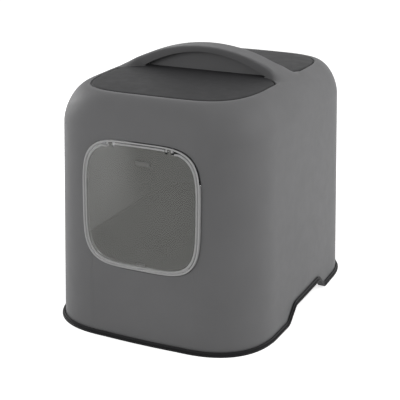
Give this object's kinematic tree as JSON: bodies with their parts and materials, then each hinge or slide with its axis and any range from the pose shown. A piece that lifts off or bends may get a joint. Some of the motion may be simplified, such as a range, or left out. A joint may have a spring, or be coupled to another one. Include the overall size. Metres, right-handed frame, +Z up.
{
  "type": "top entry litter box",
  "caption": "Hooded litter box with a lift-off hood, an arched carrying handle between hinged top lids and a swinging front door flap.",
  "frame": {"origin": "centre of the footprint, on the floor under the base tray", "axes": "+Z up, -Y out through the front door, +X to the right seen from the front"},
  "size_m": [0.4, 0.528, 0.4535],
  "materials": {
    "grey_plastic": "fine matt moulded grain",
    "dark_plastic": "fine matt moulded grain",
    "pale_plastic": "smooth satin",
    "smoky_clear": "smoky see-through",
    "soft_edge": "soft matt strip",
    "hinge_steel": "drawn wire",
    "magnet": "nickel plated"
  },
  "bodies": {
    "base": {"base_tray": "dark_plastic"},
    "hood": {"hood": "grey_plastic", "front_lid_pin_left": "hinge_steel", "front_lid_pin_right": "hinge_steel", "rear_lid_pin_left": "hinge_steel", "rear_lid_pin_right": "hinge_steel", "door_ring": "pale_plastic", "door_pin_left": "hinge_steel", "door_pin_right": "hinge_steel", "ring_magnet": "magnet"},
    "front_lid": {"front_lid": "dark_plastic"},
    "rear_lid": {"rear_lid": "dark_plastic"},
    "flap": {"flap_pane": "smoky_clear", "flap_seal": "soft_edge", "flap_magnet": "magnet"}
  },
  "joints": [
    {"name": "hood_lift", "type": "slide", "parent": "base", "child": "hood", "axis": [0, 0, 1], "range_m": [0, 0.16]},
    {"name": "front_lid_hinge", "type": "hinge", "parent": "hood", "child": "front_lid", "pos_m": [0, -0.063, 0.4025], "axis": [-1, 0, 0], "range_deg": [0, 85]},
    {"name": "rear_lid_hinge", "type": "hinge", "parent": "hood", "child": "rear_lid", "pos_m": [0, 0.063, 0.4025], "axis": [1, 0, 0], "range_deg": [0, 85]},
    {"name": "flap_swing", "type": "hinge", "parent": "hood", "child": "flap", "pos_m": [0, -0.24867, 0.33413], "axis": [1, 0, 0], "range_deg": [-75, 75]}
  ]
}
